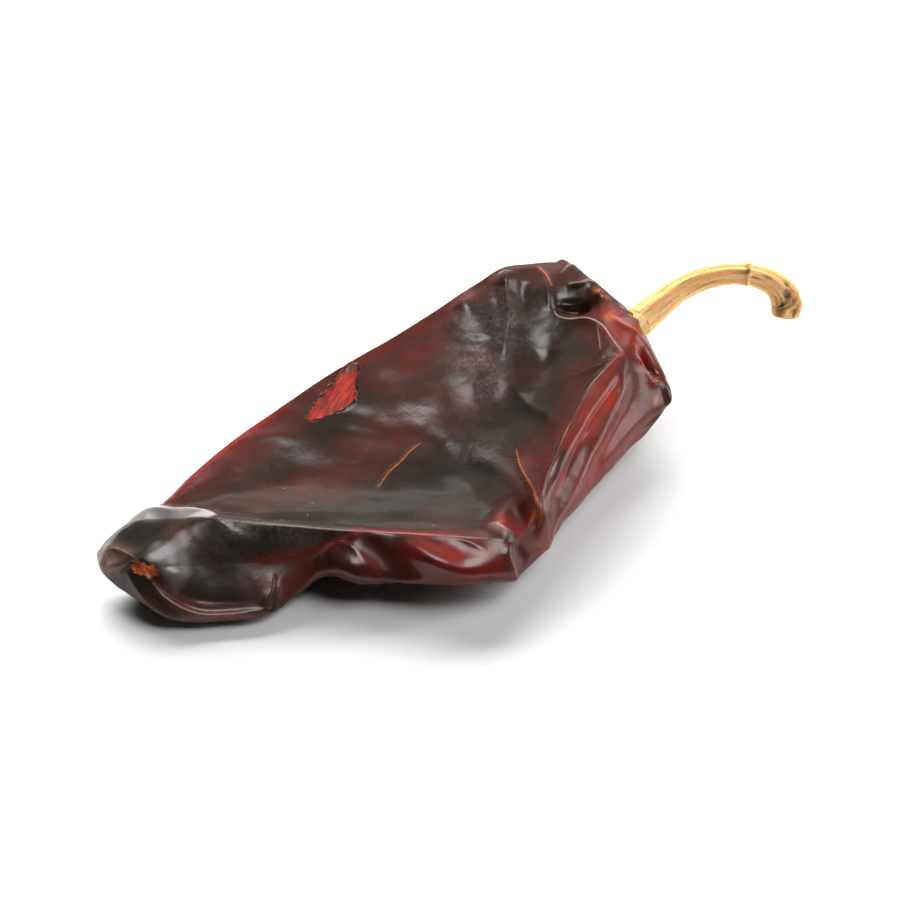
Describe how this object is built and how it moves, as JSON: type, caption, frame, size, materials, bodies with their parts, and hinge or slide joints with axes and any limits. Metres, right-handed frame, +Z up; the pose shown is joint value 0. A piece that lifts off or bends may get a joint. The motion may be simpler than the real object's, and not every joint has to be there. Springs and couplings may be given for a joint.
{
  "type": "dried guajillo pepper",
  "caption": "Dried guajillo pepper lying on its side: a flattened, folded leathery pod with a torn strip, and a curved dry stem.",
  "frame": {"origin": "on the surface that the pepper rests on, under the middle of the whole object's box", "axes": "+X from the pod's tip to the stem, +Y towards the pod's straight back fold, +Z up from the surface"},
  "size_m": [0.1485, 0.0652, 0.0192],
  "materials": {
    "pod_skin": "thin dried fruit skin, nearly black with dark red where it is folded thin, waxy gloss, orange-red where it is torn",
    "dry_stem": "dry straw-coloured plant stem with fine lengthwise fibres, matt, browner at its broken end"
  },
  "bodies": {
    "root": {"pod": "pod_skin", "stem": "dry_stem"}
  },
  "joints": []
}
